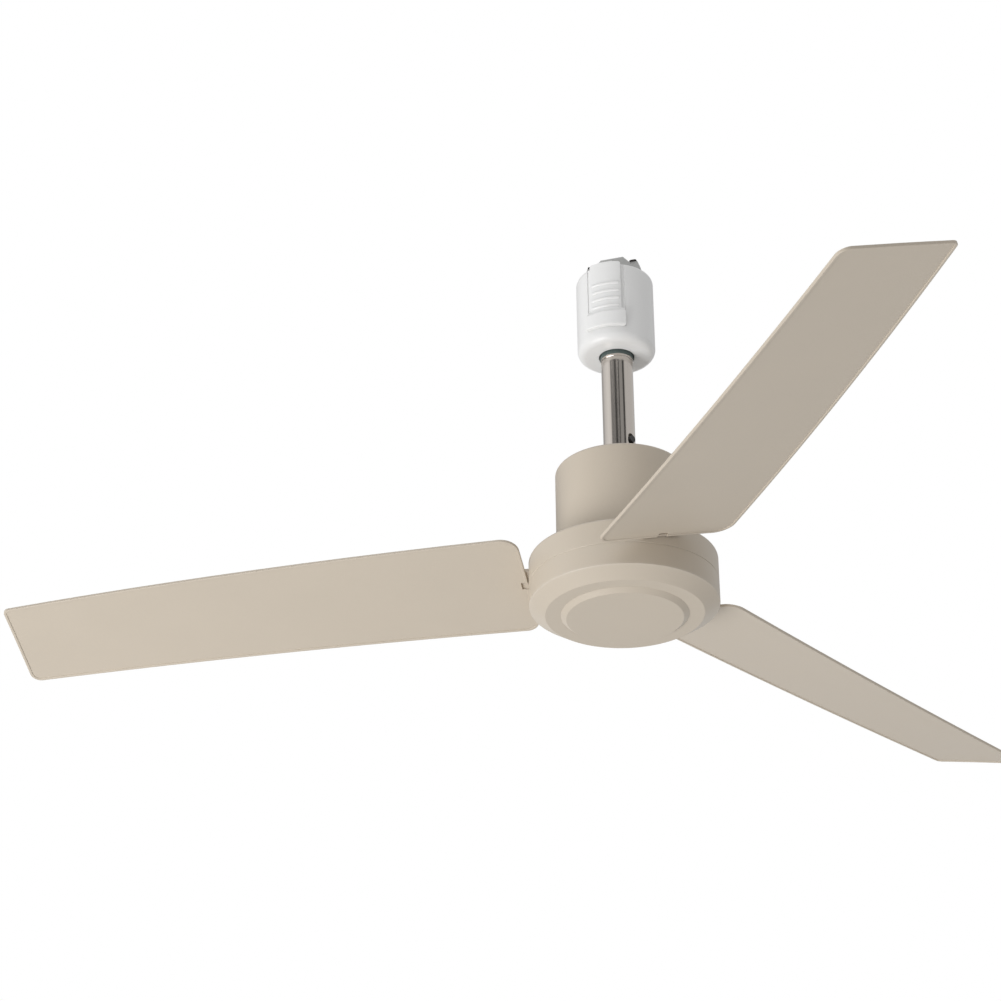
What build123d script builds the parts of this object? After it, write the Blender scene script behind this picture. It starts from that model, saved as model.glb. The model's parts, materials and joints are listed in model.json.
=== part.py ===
"""Track-mounted ceiling fan, in millimetres.

The origin is on the fan's axis, in the plane where the plug's round shoulder meets the underside of
the lighting rail. +Z is up and everything but the rail head hangs below. The rail runs along Y and
the lock lever faces -Y. Three bodies move: the fixed frame, the rotor and the lock lever.
"""
from build123d import *
import os
from math import cos, radians, sin

os.makedirs("parts", exist_ok=True)

# Overall sizes
fan_r = 423.0
plug_d = 53.5
plug_h = 61.5
pipe_d = 21.7
pipe_show = 90.5
canister_d = 88.0
canister_h = 64.0
shell_d = 125.4
upper_shell_h = 17.7
lower_wall_h = 15.3
band_h = 6.6
cap_proud = 2.7

# Clearances
turn_gap = 1.6
slide_gap = 0.3
press_gap = 0.05
screw_gap = 0.2

# Screws, in two sizes: shank, head and its cross slot
small_r = 1.5
small_head_r = 2.7
small_head_h = 1.6
large_r = 2.0
large_head_r = 3.6
large_head_h = 2.2
drive_w = 0.6
drive_depth = 0.9
sink_depth = small_head_h + screw_gap

# Levels down the axis
plug_bottom_z = -plug_h
canister_top_z = plug_bottom_z - pipe_show
canister_bottom_z = canister_top_z - canister_h
shell_top_z = canister_bottom_z - turn_gap
seam_z = shell_top_z - upper_shell_h
rim_z = seam_z - lower_wall_h
flat_z = rim_z - band_h
cap_z = flat_z - cap_proud

# Bearing and stator levels, from the shells that hold them
shell_top_t = 3.0
inner_floor_up = 5.2
inner_floor_t = 2.4
bearing_h = 6.0
yoke_top_z = shell_top_z - shell_top_t
upper_bearing_z = yoke_top_z - bearing_h
lower_bearing_z = flat_z + inner_floor_up + inner_floor_t
stator_z = (upper_bearing_z + lower_bearing_z + bearing_h) / 2
shaft_end_z = flat_z + 4.5

# Plug casing
plug_r = plug_d / 2
plug_wall = 2.2
plug_floor = 3.0
plug_top_round = 4.5
plug_bottom_round = 5.5
plug_mouth_round = 0.4
shelf_lap = 1.9
shelf_t = 2.2
head_disc_t = 3.0
head_disc_r = plug_r - plug_top_round - 0.15
plug_in_r = plug_r - plug_wall
plug_floor_z = plug_bottom_z + plug_floor
boss_ring_r = head_disc_r - 4.5
boss_r = 2.6
boss_h = 12.0
head_screw_l = 9.0

# Pipe, its bush and its collar
pipe_wall = 2.0
pipe_r = pipe_d / 2
pipe_in_r = pipe_r - pipe_wall
bush_r = pipe_r + 0.55
bush_drop = 2.6
plug_mouth_r = bush_r + 0.7
collar_r = pipe_r + 0.35
collar_h = 1.7
collar_edge = 0.25
pipe_into_canister = 4.0

# Lock lever
lever_azimuth = -90.0
lever_angle = 23.4
lever_corner = 1.5
lever_proud = 0.85
lever_top_z = 0.0
lever_foot_z = plug_bottom_z + 17.5
lever_travel = 5.0
recess_angle = 30.0
recess_depth = 0.8
window_margin = 0.7
lip_angle = 28.2
lip_proud = 3.15
lip_bottom_z = plug_bottom_z + 9.5
lip_h = 11.0
flare_h = 3.5
flare_curve = 5.0
lip_edge = 1.1
rib_angle = 20.0
rib_count = 4
rib_pitch = 6.0
rib_w = 2.2
rib_proud = 0.8
flange_angle = 29.0
flange_t = 1.4
flange_top_z = -9.5
spring_r = 2.3
spring_wire = 0.7
spring_step_in = 3.65
seat_w = 7.0
seat_t = 2.0
tab_w = 10.0
tab_rise = 2.2
tab_root = 2.0
join = 0.2
lever_r = plug_r + lever_proud
lip_in_r = plug_r + slide_gap
lip_r = plug_r + lip_proud
lip_top_z = lip_bottom_z + lip_h
flare_top_z = lip_top_z + flare_h
last_rib_z = flare_top_z + 2.1
flange_out_r = plug_in_r - slide_gap
flange_in_r = flange_out_r - flange_t
spring_ring_r = flange_in_r - spring_step_in
window_bottom_z = lever_foot_z - lever_travel - slide_gap

# Rail head
head_t = 10.0
neck_w = 14.4
lip_space = 2.8
wing_low_x = 21.2
wing_high_x = 18.2
wing_high_z = 10.3
shelf_z = 11.5
shelf_in_x = 12.6
ridge_x = 8.0
ridge_z = 16.8
contact_t = 0.9
contact_leg_x = 6.0
contact_leg_w = 1.8
contact_leg_y = 3.3
contact_pad_w = 12.0
contact_pad_round = 1.2
contact_margin = 0.6
contact_bottom_z = -12.0
strap_w = 7.6
strap_t = 2.0
strap_foot_w = 7.0
strap_foot_t = 2.0
hook_plate_t = 1.5
hook_plate_w = 40.0
hook_neck_w = 3.6

# Bridge that carries the pipe inside the plug
bridge_t = 2.5
bridge_w = 12.0
bridge_top_z = -13.0
bridge_floor_z = plug_bottom_z + 11.5
bridge_floor_w = 20.0
nut_af = pipe_d + 5.3
nut_h = 6.0
nut_stand_off = 1.0
thread_end = 2.0
bridge_leg_x = nut_af / 2 + nut_stand_off + bridge_t
bridge_floor_r = bridge_leg_x + 1.2
pipe_top_z = bridge_floor_z + bridge_t + nut_h + thread_end

# Leads, the hanger stub and the cross bolt through pipe and stub
bolt_azimuth = -27.7
bolt_above = 22.0
bolt_r = 2.5
bolt_proud = 1.4
bolt_end = 5.8
cross_nut_af = 8.0
cross_nut_h = 4.0
slot_w = 5.6
slot_l = 9.0
lead_r = 1.3
lead_space = 0.5
lead_bend = 6.0
lead_slant = 12.0
lead_lap = 4.0
lead_end_up = 14.0
lead_ring_r = bolt_r + lead_space + lead_r
lead_x = contact_leg_x + contact_t / 2 + lead_r
stub_r = pipe_in_r - 0.15
stub_in_r = lead_ring_r + lead_r + 0.4
stub_up = 34.0
stub_flange_t = 3.0
bolt_z = canister_top_z + bolt_above

# Canister and driver
canister_r = canister_d / 2
canister_wall = 1.8
canister_top_t = 2.2
canister_round = 2.4
canister_edge = 0.5
canister_in_r = canister_r - canister_wall
base_t = 3.0
base_lap = 0.3
pillar_ring_r = canister_r - 13.0
pillar_af = 6.4
pillar_count = 3
pillar_start = 30.0
stub_flange_r = pillar_ring_r + 5.0
canister_screw_ring_r = canister_r - 20.0
board_r = canister_in_r - 7.2
board_t = 1.6
board_up = 24.0
board_hole_r = 9.0
driver_ring_r = board_r - 13.0
capacitor_azimuths = (-60.0, -100.0)
capacitor_r = 6.0
capacitor_h = 18.0
capacitor_edge = 0.8
choke_azimuth = 200.0
choke_r = 8.5
choke_in_r = 3.5
choke_h = 9.0
choke_edge = 1.6
terminal_azimuth = 90.0
terminal_l = 16.0
terminal_w = 9.0
terminal_h = 9.0
well_pitch = 7.0
well_r = 2.0
well_depth = 5.0
board_z = canister_bottom_z + board_up

# Shaft and bearings
shaft_r = 6.0
shaft_in_r = 3.5
shaft_collar_r = 8.0
shaft_flange_r = 17.0
shaft_flange_t = 3.0
shaft_screw_ring_r = 13.0
bearing_r = 12.0
bearing_ring_t = 1.7
cage_play = 0.35
cage_recess = 0.6
circlip_t = 1.0
circlip_r = 8.3
circlip_gap_w = 5.0
groove_depth = 0.6

# Rotor shells
shell_r = shell_d / 2
shell_wall = 2.4
shell_in_r = shell_r - shell_wall
shell_top_round = 2.0
band_w = 10.4
flat_ring_w = 10.0
cap_bevel_w = 3.7
cap_t = 2.0
rim_round = 0.7
seam_edge = 0.3
band_in_r = shell_r - band_w
cap_seat_r = band_in_r - flat_ring_w
cap_face_r = cap_seat_r - cap_bevel_w
cap_seat_depth = 2.0
cap_ledge_w = 4.0
floor_slope_w = 2.0
bearing_lip_r = bearing_r - 2.3
cup_wall = 3.0
shell_screw_count = 6
shell_screw_ring_r = shell_r - 7.2
shell_screw_depth = 6.0
post_r = 3.6
register_h = 2.5
register_t = 1.4
leg_ring_r = cap_face_r - 5.6
leg_t = 2.0
leg_w = 8.0
leg_hook = 1.5
leg_room = 0.3

# Motor
stator_r = shell_r - 23.3
stator_h = 10.0
stator_hub_r = 14.0
teeth = 12
tooth_w = 4.0
shoe_t = 2.6
slot_mouth = 3.4
air_gap = 0.8
magnet_t = 2.6
magnet_h = 15.0
magnet_count = 8
magnet_angle = 41.0
yoke_t = 2.0
yoke_h = 19.0
coil_side = 1.7
coil_end = 2.4
coil_round = 1.2
coil_in_r = stator_hub_r + 2.0
coil_out_r = stator_r - 6.4
magnet_in_r = stator_r + air_gap
magnet_out_r = magnet_in_r + magnet_t
yoke_flange_r = magnet_out_r - 8.8
yoke_screw_ring_r = magnet_out_r - 3.8
yoke_screw_count = 4

# Blades
blade_count = 3
blade_1_azimuth = -53.7
root_gap = 0.7
blade_root_r = shell_r + root_gap
blade_pitch_root = 13.9
blade_pitch_tip = 15.9
blade_drop = 13.8
blade_z = shell_top_z - blade_drop
blade_droop = 2.3
blade_t = 1.8
blade_camber = 0.4
bead_w = 2.0
bead_h = 0.5
bead_round = 0.45
lead_root = 49.6
lead_mid = 42.9
lead_tip = 28.0
trail_root = -44.8
trail_mid = -42.8
trail_tip = -46.8
tip_skew = 2.5
root_lead_round = 12.0
root_trail_round = 9.0
tip_lead_round = 4.5
tip_trail_round = 7.0
skin_stations = (-0.05, 0.35, 0.7, 1.05)
skin_reach = 62.0
cut_depth = 30.0

# Blade holders: a flat iron through the shell's wall, screwed inside and pegged to the blade
holder_w = 25.8
holder_c = 1.6
holder_t = 2.4
holder_round = 4.0
holder_foot_r = shell_r - 14.7
holder_end_r = blade_root_r + 36.6
holder_rise = blade_t + blade_camber + press_gap
foot_screw_r = shell_r - 8.7
foot_screw_spread = 6.5
foot_screw_depth = 3.6
notch_w = 6.6
notch_depth = 4.9
key_gap = 0.3
key_l = 2.6
key_depth = 1.2
peg_r = 2.6
peg_root = 0.9
peg_screw_l = 3.0
peg_spots = (
    (blade_root_r + 12.6, holder_c),
    (blade_root_r + 28.6, holder_c - 8.0),
    (blade_root_r + 28.6, holder_c + 8.0),
)


def at(azimuth, radius, z=0.0):
    """A point at an azimuth in degrees and a distance from the axis."""
    return (radius * cos(radians(azimuth)), radius * sin(radians(azimuth)), z)


def ring(radius, count, start=0.0):
    """Evenly spaced spots on a circle about the axis."""
    return [at(start + 360 / count * index, radius)[:2] for index in range(count)]


def radial(azimuth):
    """The plane through the axis at an azimuth: x outwards, y up."""
    return Plane(origin=(0, 0, 0), x_dir=at(azimuth, 1), z_dir=at(azimuth - 90, 1))


def facing(azimuth, radius, z):
    """The plane that faces outwards at an azimuth, with its x upwards."""
    return Plane(origin=at(azimuth, radius, z), x_dir=(0, 0, 1), z_dir=at(azimuth, 1))


def corner(sketch, x, y):
    """The sketch's corner nearest to a point."""
    return sketch.vertices().sort_by_distance(Vector(x, y))[0]


def sector(azimuth, half_angle, reach=1.5 * shell_r):
    """A flat wedge from the axis outwards, to keep one angle of a ring."""
    with BuildSketch() as wedge:
        with BuildLine():
            Polyline(
                (0, 0),
                at(azimuth - half_angle, reach)[:2],
                at(azimuth + half_angle, reach)[:2],
                close=True,
            )
        make_face()
    return wedge.sketch


def save(part, name):
    """Name a finished piece and write its file."""
    part.label = name
    export_step(part, f"parts/{name}.step")


def screw_group(name, planes, spots, length, large=False):
    """Cross-slot screws at the same spots of each plane, their heads standing on it."""
    shank_r = large_r if large else small_r
    head_r = large_head_r if large else small_head_r
    head_h = large_head_h if large else small_head_h
    with BuildPart() as screws:
        for plane in planes:
            with BuildSketch(plane) as heads:
                with Locations(*spots):
                    Circle(head_r)
            extrude(amount=head_h)
            with BuildSketch(plane) as shanks:
                with Locations(*spots):
                    Circle(shank_r)
            extrude(amount=-length)
            with BuildSketch(plane.offset(head_h)) as drives:
                with Locations(*spots):
                    Rectangle(head_r, drive_w)
                    Rectangle(drive_w, head_r)
            extrude(amount=-drive_depth, mode=Mode.SUBTRACT)
    save(screws.part, name)


# Plug casing: an open-topped cup with rounded edges, a shelf for the head disc and a window for the lever
shelf_in_r = head_disc_r - shelf_lap
shelf_bottom_z = -head_disc_t - shelf_t
boss_spots = ring(boss_ring_r, 4, start=45)
with BuildPart() as plug_body:
    with BuildSketch(Plane.XZ) as section:
        with BuildLine():
            Polyline(
                (head_disc_r + press_gap, 0),
                (plug_r, 0),
                (plug_r, plug_bottom_z),
                (plug_mouth_r, plug_bottom_z),
                (plug_mouth_r, plug_floor_z),
                (plug_in_r, plug_floor_z),
                (plug_in_r, shelf_bottom_z - plug_wall),
                (shelf_in_r, shelf_bottom_z),
                (shelf_in_r, -head_disc_t),
                (head_disc_r + press_gap, -head_disc_t),
                close=True,
            )
        make_face()
        fillet(corner(section, plug_r, 0), plug_top_round)
        fillet(corner(section, plug_r, plug_bottom_z), plug_bottom_round)
        fillet(corner(section, plug_in_r, plug_floor_z), plug_bottom_round - plug_wall)
        fillet(corner(section, plug_mouth_r, plug_bottom_z), plug_mouth_round)
    revolve(axis=Axis.Z)
    with BuildSketch(Plane.XY.offset(-head_disc_t)) as bosses:
        with Locations(*boss_spots):
            Circle(boss_r)
        with PolarLocations((boss_ring_r + plug_in_r) / 2, 4, start_angle=45):
            Rectangle(plug_in_r - boss_ring_r + plug_wall / 2, plug_wall)
    extrude(amount=-boss_h)
    with BuildSketch(Plane.XY.offset(-head_disc_t)) as boss_holes:
        with Locations(*boss_spots):
            Circle(small_r + press_gap)
    extrude(amount=-boss_h + plug_wall, mode=Mode.SUBTRACT)
    with BuildSketch(Plane.XY.offset(lip_bottom_z + slide_gap)) as recess:
        Circle(lever_r + 1)
        Circle(plug_r - recess_depth, mode=Mode.SUBTRACT)
        add(sector(lever_azimuth, recess_angle), mode=Mode.INTERSECT)
    extrude(amount=-lip_bottom_z, mode=Mode.SUBTRACT)
    with BuildSketch(Plane.XY.offset(window_bottom_z)) as window:
        Circle(lever_r + 1)
        Circle(flange_out_r - plug_wall, mode=Mode.SUBTRACT)
        add(sector(lever_azimuth, lever_angle + window_margin), mode=Mode.INTERSECT)
    extrude(amount=-window_bottom_z - head_disc_t, mode=Mode.SUBTRACT)
    with BuildSketch(Plane.XY.offset(shelf_bottom_z - 1)) as top_window:
        Circle(lever_r + 1)
        Circle(head_disc_r + press_gap, mode=Mode.SUBTRACT)
        add(sector(lever_azimuth, lever_angle + window_margin), mode=Mode.INTERSECT)
    extrude(amount=1 - shelf_bottom_z, mode=Mode.SUBTRACT)
save(plug_body.part, "plug_body")


# Rail head: disc that closes the casing, neck for the rail's slot, and sloping wings that rest on its lips
leg_spots = ((contact_leg_x, -contact_leg_y), (-contact_leg_x, contact_leg_y))
strip_in_x = contact_leg_x - contact_t / 2 - press_gap
with BuildPart() as rail_head:
    with BuildSketch(Plane.XY) as disc:
        Circle(head_disc_r)
    extrude(amount=-head_disc_t)
    with BuildSketch(Plane.XZ.offset(-head_t / 2)) as wings:
        with BuildLine():
            Polyline(
                (neck_w / 2, 0),
                (neck_w / 2, lip_space),
                (wing_low_x, lip_space),
                (wing_high_x, wing_high_z),
                (wing_high_x, shelf_z),
                (shelf_in_x, shelf_z),
                (ridge_x, ridge_z),
                (0, ridge_z),
                (0, 0),
                close=True,
            )
        make_face()
        mirror(about=Plane.YZ)
    extrude(amount=head_t)
    with BuildSketch(Plane.XY.offset(-head_disc_t)) as strap_slot:
        Rectangle(strap_w + 2 * press_gap, strap_t + 2 * press_gap)
    extrude(amount=head_disc_t + lip_space + hook_plate_t, mode=Mode.SUBTRACT)
    with BuildSketch(Plane.XY.offset(lip_space)) as plate_pocket:
        Rectangle(hook_plate_w + 2 * press_gap, head_t)
        Rectangle(neck_w, head_t, mode=Mode.SUBTRACT)
        Rectangle(neck_w + 1, hook_neck_w + 2 * press_gap)
    extrude(amount=hook_plate_t, mode=Mode.SUBTRACT)
    with BuildSketch(Plane.XY.offset(-head_disc_t)) as leg_slots:
        with Locations(*leg_spots):
            Rectangle(contact_t + 2 * press_gap, contact_leg_w + 2 * press_gap)
    extrude(amount=head_disc_t + shelf_z + contact_t, mode=Mode.SUBTRACT)
    with BuildSketch(Plane.XY.offset(shelf_z)) as strip_slots:
        for side in (1, -1):
            with Locations((side * (strip_in_x + shelf_in_x) / 2, -side * contact_leg_y)):
                Rectangle(shelf_in_x - strip_in_x, contact_leg_w + 2 * press_gap)
    extrude(amount=contact_t + press_gap, mode=Mode.SUBTRACT)
    with BuildSketch(Plane.XY) as screw_sinks:
        with Locations(*boss_spots):
            Circle(small_head_r + screw_gap)
    extrude(amount=-sink_depth, mode=Mode.SUBTRACT)
    with BuildSketch(Plane.XY) as screw_holes:
        with Locations(*boss_spots):
            Circle(small_r + screw_gap)
    extrude(amount=-head_disc_t, mode=Mode.SUBTRACT)
save(rail_head.part, "rail_head")

screw_group("head_screws", [Plane.XY.offset(-sink_depth)], boss_spots, head_screw_l)


# Contact blades: a flat strip on each wing, bent down through the neck to its lead
for side, blade_name in ((1, "contact_blade_live"), (-1, "contact_blade_neutral")):
    with BuildPart() as contact_blade:
        with BuildSketch(Plane.XZ.offset(side * contact_leg_y - contact_leg_w / 2)) as strip:
            with BuildLine():
                Polyline(
                    (side * (contact_leg_x - contact_t / 2), contact_bottom_z),
                    (side * (contact_leg_x + contact_t / 2), contact_bottom_z),
                    (side * (contact_leg_x + contact_t / 2), shelf_z),
                    (side * (shelf_in_x + join), shelf_z),
                    (side * (shelf_in_x + join), shelf_z + contact_t),
                    (side * (contact_leg_x - contact_t / 2), shelf_z + contact_t),
                    close=True,
                )
            make_face()
        extrude(amount=contact_leg_w)
        pad_out_x = wing_high_x - contact_margin
        with BuildSketch(Plane.XY.offset(shelf_z)) as contact_pad:
            with Locations((side * (shelf_in_x + pad_out_x) / 2, 0)):
                RectangleRounded(pad_out_x - shelf_in_x, contact_pad_w, contact_pad_round)
        extrude(amount=contact_t)
    save(contact_blade.part, blade_name)


# Steel strap: plate under the wings that bears on the rail's lips, and a strap down to the bridge
strap_foot_z = bridge_top_z - bridge_t - strap_foot_t
with BuildPart() as hanger_strap:
    with BuildSketch(Plane.XY.offset(lip_space)) as hook_plate:
        Rectangle(hook_plate_w, head_t - 1)
        Rectangle(neck_w + 2 * slide_gap, head_t, mode=Mode.SUBTRACT)
        Rectangle(neck_w + 2, hook_neck_w)
    extrude(amount=hook_plate_t)
    with BuildSketch(Plane.XY.offset(lip_space)) as strap:
        Rectangle(strap_w, strap_t)
    extrude(amount=strap_foot_z - lip_space)
    with BuildSketch(Plane.XY.offset(strap_foot_z)) as strap_foot:
        Rectangle(strap_w, strap_foot_w)
    extrude(amount=strap_foot_t)
save(hanger_strap.part, "hanger_strap")


# Bridge: a bent steel stirrup from the strap down to the plate under the pipe's nut
with BuildPart() as bridge:
    with BuildSketch(Plane.XY.offset(bridge_top_z)) as bridge_top:
        Rectangle(2 * bridge_leg_x, bridge_w)
        Rectangle(strap_w + 2 * press_gap, strap_t + 2 * press_gap, mode=Mode.SUBTRACT)
        with Locations((lead_x, -contact_leg_y), (-lead_x, contact_leg_y)):
            Circle(lead_r + lead_space, mode=Mode.SUBTRACT)
    extrude(amount=-bridge_t)
    with BuildSketch(Plane.XY.offset(bridge_top_z)) as bridge_legs:
        with Locations((bridge_leg_x - bridge_t / 2, 0), (-bridge_leg_x + bridge_t / 2, 0)):
            Rectangle(bridge_t, bridge_w)
    extrude(amount=bridge_floor_z - bridge_top_z)
    with BuildSketch(Plane.XY.offset(bridge_floor_z)) as bridge_plate:
        Circle(bridge_floor_r)
        Rectangle(2 * bridge_leg_x, bridge_floor_w, mode=Mode.INTERSECT)
        Circle(pipe_r + press_gap, mode=Mode.SUBTRACT)
    extrude(amount=bridge_t)
save(bridge.part, "bridge")


# Nut on the pipe's threaded top
with BuildPart() as pipe_nut:
    with BuildSketch(Plane.XY.offset(bridge_floor_z + bridge_t)) as hexagon:
        RegularPolygon(nut_af / 2, 6, major_radius=False, rotation=30)
        Circle(pipe_r + press_gap, mode=Mode.SUBTRACT)
    extrude(amount=nut_h)
save(pipe_nut.part, "pipe_nut")


# Down pipe with a cross slot for the bolt's head on one side and a round hole on the other
pipe_bottom_z = canister_top_z - pipe_into_canister
slot_plane = facing(bolt_azimuth, pipe_in_r - 1, bolt_z)
far_plane = facing(bolt_azimuth + 180, 0, bolt_z)
with BuildPart() as down_pipe:
    with BuildSketch(Plane.XY.offset(pipe_bottom_z)) as tube:
        Circle(pipe_r)
        Circle(pipe_in_r, mode=Mode.SUBTRACT)
    extrude(amount=pipe_top_z - pipe_bottom_z)
    with BuildSketch(slot_plane) as cross_slot:
        SlotOverall(slot_l, slot_w)
    extrude(amount=pipe_r, mode=Mode.SUBTRACT)
    with BuildSketch(far_plane) as far_hole:
        Circle(bolt_r + screw_gap)
    extrude(amount=2 * pipe_r, mode=Mode.SUBTRACT)
save(down_pipe.part, "down_pipe")


# Rubber bush round the pipe in the casing's mouth
collar_top_z = plug_bottom_z - bush_drop
with BuildPart() as pipe_bush:
    with BuildSketch(Plane.XY.offset(bridge_floor_z)) as bush_ring:
        Circle(bush_r)
        Circle(pipe_r + press_gap, mode=Mode.SUBTRACT)
    extrude(amount=collar_top_z - bridge_floor_z)
save(pipe_bush.part, "pipe_bush")


# Thin steel collar below the bush
with BuildPart() as pipe_collar:
    with BuildSketch(Plane.XZ) as collar_section:
        with BuildLine():
            Polyline(
                (pipe_r + press_gap, collar_top_z),
                (collar_r, collar_top_z),
                (collar_r, collar_top_z - collar_h),
                (pipe_r + press_gap, collar_top_z - collar_h),
                close=True,
            )
        make_face()
        chamfer(corner(collar_section, collar_r, collar_top_z - collar_h), collar_edge)
    revolve(axis=Axis.Z)
save(pipe_collar.part, "pipe_collar")


# Lock lever: plate in the casing's window, ribs, grip lip that flares out below them, and inner flange
with BuildPart() as lock_lever:
    with BuildSketch(Plane.XY.offset(lever_foot_z)) as plate:
        Circle(lever_r)
        Circle(flange_out_r - join, mode=Mode.SUBTRACT)
        add(sector(lever_azimuth, lever_angle), mode=Mode.INTERSECT)
    extrude(amount=lever_top_z - lever_foot_z)
    fillet(lock_lever.edges().group_by(Axis.Z)[-1].filter_by(GeomType.LINE), lever_corner)
    with BuildSketch(radial(lever_azimuth - lip_angle)) as lip_section:
        with BuildLine():
            Polyline(
                (lever_r, flare_top_z),
                (lip_in_r, flare_top_z),
                (lip_in_r, lip_bottom_z),
                (lip_r, lip_bottom_z),
                (lip_r, lip_top_z),
            )
            RadiusArc((lip_r, lip_top_z), (lever_r, flare_top_z), flare_curve)
        make_face()
        fillet(corner(lip_section, lip_r, lip_bottom_z), lip_edge)
        fillet(corner(lip_section, lip_r, lip_top_z), lip_edge)
    revolve(axis=Axis.Z, revolution_arc=2 * lip_angle)
    with BuildSketch(Plane.XY.offset(lever_foot_z)) as flange:
        Circle(flange_out_r)
        Circle(flange_in_r, mode=Mode.SUBTRACT)
        add(sector(lever_azimuth, flange_angle), mode=Mode.INTERSECT)
    extrude(amount=flange_top_z - lever_foot_z)
    with BuildSketch(radial(lever_azimuth - rib_angle)) as rib_profile:
        with Locations(*[(lever_r, last_rib_z + rib_pitch * index) for index in range(rib_count)]):
            Ellipse(rib_proud, rib_w / 2)
    revolve(axis=Axis.Z, revolution_arc=2 * rib_angle)
    with BuildSketch(Plane.XY.offset(lever_foot_z)) as spring_seat:
        with Locations((0, -(spring_ring_r - spring_r + flange_in_r + join) / 2)):
            Rectangle(seat_w, flange_in_r + join - spring_ring_r + spring_r)
    extrude(amount=seat_t)
    tab_in_r = head_disc_r + slide_gap
    with BuildSketch(Plane.XY.offset(flange_top_z - tab_root)) as lock_tab:
        with Locations((0, -(tab_in_r + flange_out_r + join) / 2)):
            Rectangle(tab_w, flange_out_r + join - tab_in_r)
    extrude(amount=tab_rise + tab_root - flange_top_z)
save(lock_lever.part, "lock_lever")


# Spring that pushes the lever up, standing on the casing's floor
with BuildPart() as lever_spring:
    with BuildSketch(Plane.XY.offset(plug_floor_z)) as spring_ring:
        with Locations((0, -spring_ring_r)):
            Circle(spring_r)
            Circle(spring_r - spring_wire, mode=Mode.SUBTRACT)
    extrude(amount=lever_foot_z - plug_floor_z)
save(lever_spring.part, "lever_spring")


# Hanger stub: flanged tube bolted under the canister's top, which the pipe slips over
flange_z = canister_top_z - canister_top_t
stub_foot_z = flange_z - stub_flange_t
pillar_spots = ring(pillar_ring_r, pillar_count, start=pillar_start)
bolt_plane = facing(bolt_azimuth, 0, bolt_z)
with BuildPart() as hanger_stub:
    with BuildSketch(Plane.XY.offset(flange_z)) as stub_flange:
        Circle(stub_flange_r)
        with Locations(*pillar_spots):
            Circle(large_r + screw_gap, mode=Mode.SUBTRACT)
    extrude(amount=-stub_flange_t)
    with BuildSketch(Plane.XY.offset(stub_foot_z)) as stub_tube:
        Circle(stub_r)
    extrude(amount=canister_top_z + stub_up - stub_foot_z)
    with BuildSketch(Plane.XY.offset(flange_z)) as pipe_seat:
        Circle(pipe_r + screw_gap)
        Circle(stub_r, mode=Mode.SUBTRACT)
    extrude(amount=pipe_bottom_z - flange_z, mode=Mode.SUBTRACT)
    with BuildSketch(Plane.XY.offset(stub_foot_z)) as stub_bore:
        Circle(stub_in_r)
    extrude(amount=canister_top_z + stub_up - stub_foot_z, mode=Mode.SUBTRACT)
    with BuildSketch(bolt_plane) as stub_hole:
        Circle(bolt_r + screw_gap)
    extrude(amount=pipe_r, both=True, mode=Mode.SUBTRACT)
save(hanger_stub.part, "hanger_stub")


# Cross bolt through the pipe and the stub, with its nut
with BuildPart() as cross_bolt:
    with BuildSketch(facing(bolt_azimuth, pipe_r + bolt_proud, bolt_z)) as bolt_round:
        Circle(bolt_r)
    extrude(amount=-bolt_proud - 2 * pipe_r - bolt_end)
save(cross_bolt.part, "cross_bolt")

with BuildPart() as cross_nut:
    with BuildSketch(facing(bolt_azimuth + 180, pipe_r + press_gap, bolt_z)) as nut_hexagon:
        RegularPolygon(cross_nut_af / 2, 6, major_radius=False)
        Circle(bolt_r + press_gap, mode=Mode.SUBTRACT)
    extrude(amount=cross_nut_h)
save(cross_nut.part, "cross_nut")


# Canister: the drum that covers the driver
canister_screw_spots = ring(canister_screw_ring_r, 3, start=90)
with BuildPart() as canister:
    with BuildSketch(Plane.XZ) as drum_section:
        with BuildLine():
            Polyline(
                (pipe_r + screw_gap, canister_top_z),
                (canister_r, canister_top_z),
                (canister_r, canister_bottom_z),
                (canister_in_r, canister_bottom_z),
                (canister_in_r, flange_z),
                (pipe_r + screw_gap, flange_z),
                close=True,
            )
        make_face()
        fillet(corner(drum_section, canister_r, canister_top_z), canister_round)
        fillet(corner(drum_section, canister_r, canister_bottom_z), canister_edge)
    revolve(axis=Axis.Z)
    with BuildSketch(Plane.XY.offset(canister_top_z)) as canister_screw_holes:
        with Locations(*canister_screw_spots):
            Circle(large_r + screw_gap)
    extrude(amount=-canister_top_t, mode=Mode.SUBTRACT)
save(canister.part, "canister")

canister_top = Plane.XY.offset(canister_top_z)
screw_group("canister_screws", [canister_top], canister_screw_spots, canister_top_t, large=True)


# Base plate that closes the canister and carries the shaft
base_top_z = canister_bottom_z + base_t
shaft_screw_spots = ring(shaft_screw_ring_r, 3, start=90)
with BuildPart() as base_plate:
    with BuildSketch(Plane.XY.offset(canister_bottom_z)) as base_disc:
        Circle(canister_in_r - base_lap)
        Circle(shaft_collar_r + press_gap, mode=Mode.SUBTRACT)
        with Locations(*pillar_spots):
            Circle(large_r + screw_gap, mode=Mode.SUBTRACT)
        with Locations(*shaft_screw_spots):
            Circle(small_r + screw_gap, mode=Mode.SUBTRACT)
    extrude(amount=base_t)
save(base_plate.part, "base_plate")


# Hexagon pillars below and above the board, and the screws that hold them to the base plate
for pillar_name, foot_z, head_z in (
    ("lower_pillars", base_top_z, board_z),
    ("upper_pillars", board_z + board_t, stub_foot_z),
):
    with BuildPart() as pillars:
        with BuildSketch(Plane.XY.offset(foot_z)) as pillar_hexagons:
            with Locations(*pillar_spots):
                RegularPolygon(pillar_af / 2, 6, major_radius=False)
        extrude(amount=head_z - foot_z)
    save(pillars.part, pillar_name)

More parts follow.
